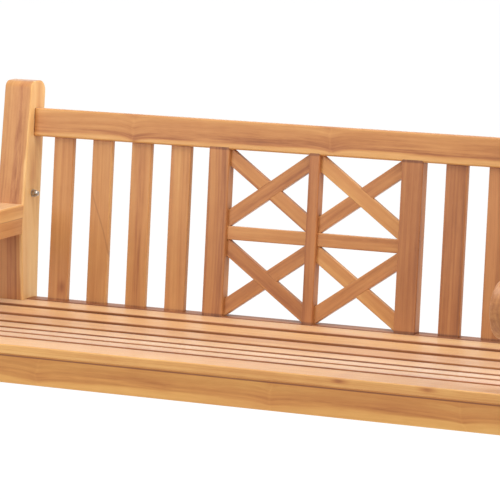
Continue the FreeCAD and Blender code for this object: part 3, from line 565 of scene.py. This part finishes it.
def look_of(name, order):
    look = dict(usual_look, seed=first_seed + seed_rise * order)
    if name.startswith("seat_slat"):
        look.update(redness=palest_slat + slat_rise * (order % slat_tones),
                    pith=(0.02, -0.09), edges=slat_edges[int(name[-1])], sheen=0.7)
    if name.startswith(("back_slat", "wide_stile", "centre_stile")):
        # painted contact shadow where the upright boards meet the rails
        look.update(figure=0.75, ends=0.25)
    if name.startswith("crossed_bar"):
        look.update(redness=bar_redness[name.removeprefix("crossed_bar_")],
                    pith=(0.006, 0.03), honey=0.3)
    look.update(board_looks.get(name, {}))
    look.setdefault("second", look["redness"])
    return look


print("the right arm's redness:", look_of("arm_right", 0)["redness"])

# %% [markdown]
# Each board then gets a material of its own, which could repeat the whole wood, but a
# group needs only the board's numbers. This step collects them: where the board lies,
# how far it reaches, and its look.

# %% What one board tells the wood
edge_inset = 0.0005


def board_values(name, look):
    low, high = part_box(name)
    places = ((low + high) / 2, *board_directions(name))
    values = dict(zip(place_sockets, places))
    reaches = (half_size(name, 1) - edge_inset, half_seen(name))
    values.update(zip(reach_sockets, reaches))
    for part_of_look, sockets in look_sockets.items():
        numbers = look[part_of_look]
        values.update(zip(sockets, numbers if isinstance(numbers, tuple) else (numbers,)))
    return values


print("an arm tells the wood", len(board_values("arm_left", look_of("arm_left", 0))),
      "values")

# %% [markdown]
# The shader itself is plain: the group's colour and roughness, and a shallow bump from
# its height, so that the pores catch a little light. Oiled teak has a satin sheen and no
# lacquer, so there is no coat.

# %% One material for each board
def teak_material(name, look):
    material = bpy.data.materials.new("teak_" + name)
    material.use_nodes = True
    tree = material.node_tree
    wiring = Wiring(tree)
    shader = tree.nodes["Principled BSDF"]
    board = wiring.node("ShaderNodeGroup", board_values(name, look),
                        node_tree=teak_group).outputs
    bump = wiring.node("ShaderNodeBump", {"Height": board["Height"], "Strength": 0.25,
                                          "Distance": 0.0004})
    tree.links.new(board["Color"], shader.inputs["Base Color"])
    tree.links.new(board["Roughness"], shader.inputs["Roughness"])
    tree.links.new(bump.outputs["Normal"], shader.inputs["Normal"])
    shader.inputs["Specular IOR Level"].default_value = 0.38
    shader.inputs["Sheen Weight"].default_value = look["sheen"]
    shader.inputs["Sheen Roughness"].default_value = 0.25
    return material


def dress(name, material):
    mesh = nodes[name].data
    mesh.materials.clear()
    mesh.materials.append(material)


record_slots = {part["node"]: part["material_slot"] for part in frame["record"]["subparts"]}
teak_nodes = sorted(name for name in nodes if record_slots[name] == "teak")
for order, name in enumerate(teak_nodes):
    dress(name, teak_material(name, look_of(name, order)))
print(len(teak_nodes), "teak boards dressed")

# %% [markdown]
# The bolts, washers, nuts and shackles are stainless steel. It could be one grey metal,
# but real steel of this kind is bright and not polished: fine turning marks and faint
# smears break up the highlight. Its grey is warm and a little dark, a painted reflection
# of the teak around it. The marks run round the bolts, so their noise is squeezed along
# the bolts.

# %% The stainless steel
def steel_material():
    material = bpy.data.materials.new("satin_stainless")
    material.use_nodes = True
    tree = material.node_tree
    wiring = Wiring(tree)
    shader = tree.nodes["Principled BSDF"]
    point = wiring.node("ShaderNodeTexCoord").outputs["Object"]
    marks = wiring.node("ShaderNodeMapping", {"Vector": point,
                                              "Scale": (2600.0, 300.0, 300.0)})
    turned = wiring.noise(marks.outputs[0])
    smears = wiring.node("ShaderNodeTexNoise", {"Vector": point, "Scale": 240.0,
                                                "Detail": 3.0}).outputs[0]
    smears_and_painted_reflection = wiring.node("ShaderNodeValToRGB", {"Fac": smears})
    # warm, darkish grey: a painted reflection of the teak
    smears_and_painted_reflection.color_ramp.elements[0].color = paint(150, 143, 134)
    smears_and_painted_reflection.color_ramp.elements[1].color = paint(198, 191, 182)
    satin = wiring.between(wiring.maths("ADD", turned, smears), 0.6, 1.4,
                           new_low=0.2, new_high=0.4, style="LINEAR")
    bump = wiring.node("ShaderNodeBump", {"Height": turned, "Strength": 0.12,
                                          "Distance": 0.0001})
    tree.links.new(smears_and_painted_reflection.outputs["Color"], shader.inputs["Base Color"])
    tree.links.new(satin, shader.inputs["Roughness"])
    tree.links.new(bump.outputs["Normal"], shader.inputs["Normal"])
    shader.inputs["Metallic"].default_value = 1.0
    return material


satin_steel = steel_material()
steel_nodes = sorted(name for name in nodes if record_slots[name] == "stainless")
for name in steel_nodes:
    dress(name, satin_steel)
print(len(steel_nodes), "steel nodes dressed")

# %% [markdown]
# The photograph was taken with a long lens, from the front and to the right, a little
# above the seat. The focal length and the two angles come from fitting the seat's
# straight lines, so the camera can be written down directly.

# %% The camera
def place_camera():
    lens_mm, sensor_mm = 252.0, 36.0
    turn, rise = math.radians(27.51), math.radians(9.24)
    back_way = Vector((math.sin(turn) * math.cos(rise),
                       -math.cos(turn) * math.cos(rise), math.sin(rise)))
    data = bpy.data.cameras.new("photo_camera")
    data.lens, data.sensor_width = lens_mm, sensor_mm
    data.clip_end = 60.0
    placed = bpy.data.objects.new("photo_camera", data)
    bpy.context.scene.collection.objects.link(placed)
    placed.location = (3.1318, -6.0084, 1.3604)
    placed.rotation_mode = "QUATERNION"
    placed.rotation_quaternion = (-back_way).to_track_quat("-Z", "Y")
    bpy.context.scene.camera = placed
    return placed


camera = place_camera()
print("camera at", tuple(round(x, 3) for x in camera.location))

# %% [markdown]
# The seat hangs, so the floor lies about 45 cm below it. It is one large flat plane,
# pale and matt. The camera and the reflections see it near white, with a tenth of its
# own shading left for the seat's shadow, and the wood gets its bounced light from it.

# %% The floor
def build_floor():
    floor_level, floor_reach, set_back = -0.45, 14.0, 4.0
    white_strength, white_share = 1.08, 0.9
    bpy.ops.object.select_all(action="DESELECT")
    bpy.ops.mesh.primitive_plane_add(size=2 * floor_reach,
                                     location=(0, set_back, floor_level))
    plane = bpy.context.object
    plane.name = "studio_floor"
    material = bpy.data.materials.new("pale_floor")
    material.use_nodes = True
    tree = material.node_tree
    wiring = Wiring(tree)
    shader = tree.nodes["Principled BSDF"]
    shader.inputs["Base Color"].default_value = paint(238, 236, 232)
    shader.inputs["Roughness"].default_value = 0.9
    white = wiring.node("ShaderNodeEmission", {"Color": (1, 1, 1, 1),
                                               "Strength": white_strength})
    path = wiring.node("ShaderNodeLightPath").outputs
    seen = wiring.maths("MAXIMUM", path["Is Camera Ray"], path["Is Glossy Ray"])
    share = wiring.maths("MULTIPLY", seen, white_share)
    mixed = wiring.node("ShaderNodeMixShader", {"Fac": share, 1: shader.outputs[0],
                                                2: white.outputs[0]})
    tree.links.new(mixed.outputs[0], tree.nodes["Material Output"].inputs["Surface"])
    plane.data.materials.append(material)
    return plane


floor = build_floor()
print("floor at", round(floor.location.z, 3))

# %% [markdown]
# The room round the seat is a plain dim light from all sides. More of it would make the
# background white, but would bleach the wood too. So it stays dim for the wood, and only
# the camera and the reflections see it white.

# %% The white surround
def build_surround():
    world = bpy.data.worlds.new("studio")
    bpy.context.scene.world = world
    world.use_nodes = True
    tree = world.node_tree
    wiring = Wiring(tree)
    dim = tree.nodes["Background"]
    dim.inputs["Color"].default_value = paint(250, 250, 252)
    dim.inputs["Strength"].default_value = 0.38
    white = wiring.node("ShaderNodeBackground", {"Color": (1, 1, 1, 1), "Strength": 1.0})
    path = wiring.node("ShaderNodeLightPath").outputs
    seen = wiring.maths("MAXIMUM", path["Is Camera Ray"], path["Is Glossy Ray"])
    mixed = wiring.node("ShaderNodeMixShader", {"Fac": seen, 1: dim.outputs[0],
                                                2: white.outputs[0]})
    tree.links.new(mixed.outputs[0], tree.nodes["World Output"].inputs["Surface"])
    return world


surround = build_surround()
print("surround:", surround.name)

# %% [markdown]
# Three soft lamps shape the seat: a large one overhead and a little to the front, a
# large one far to the right that lights the left post's inner face, and a small one at
# the front left that fills in the faces turned to the front. Each row is a lamp's name,
# its place, what it points at, its size in metres, its power in watts, and whether its
# gleam shows. The right lamp's gleam doesn't: seen from the left end of the seat, it
# would whiten the slats.

# %% The lamps
lamp_rows = (("overhead", (-0.2, -0.7, 3.3), (0.0, 0.0, 0.2), 2.4, 97.0, True),
             ("right_side", (4.6, 0.4, 1.7), (0.0, 0.0, 0.2), 3.2, 208.0, False),
             ("front_left", (-2.3, -3.2, 1.3), (-0.3, 0.0, 0.2), 1.8, 44.0, True))
for name, spot, target, size, power, gleams in lamp_rows:
    data = bpy.data.lights.new(name, "AREA")
    data.size, data.energy = size, power
    lamp = bpy.data.objects.new(name, data)
    bpy.context.scene.collection.objects.link(lamp)
    lamp.location = spot
    lamp.visible_glossy = gleams
    aim = Vector(target) - Vector(spot)
    lamp.rotation_mode = "QUATERNION"
    lamp.rotation_quaternion = aim.to_track_quat("-Z", "Y")
bpy.context.scene.view_settings.view_transform = "Standard"
print("lamps:", [row[0] for row in lamp_rows])
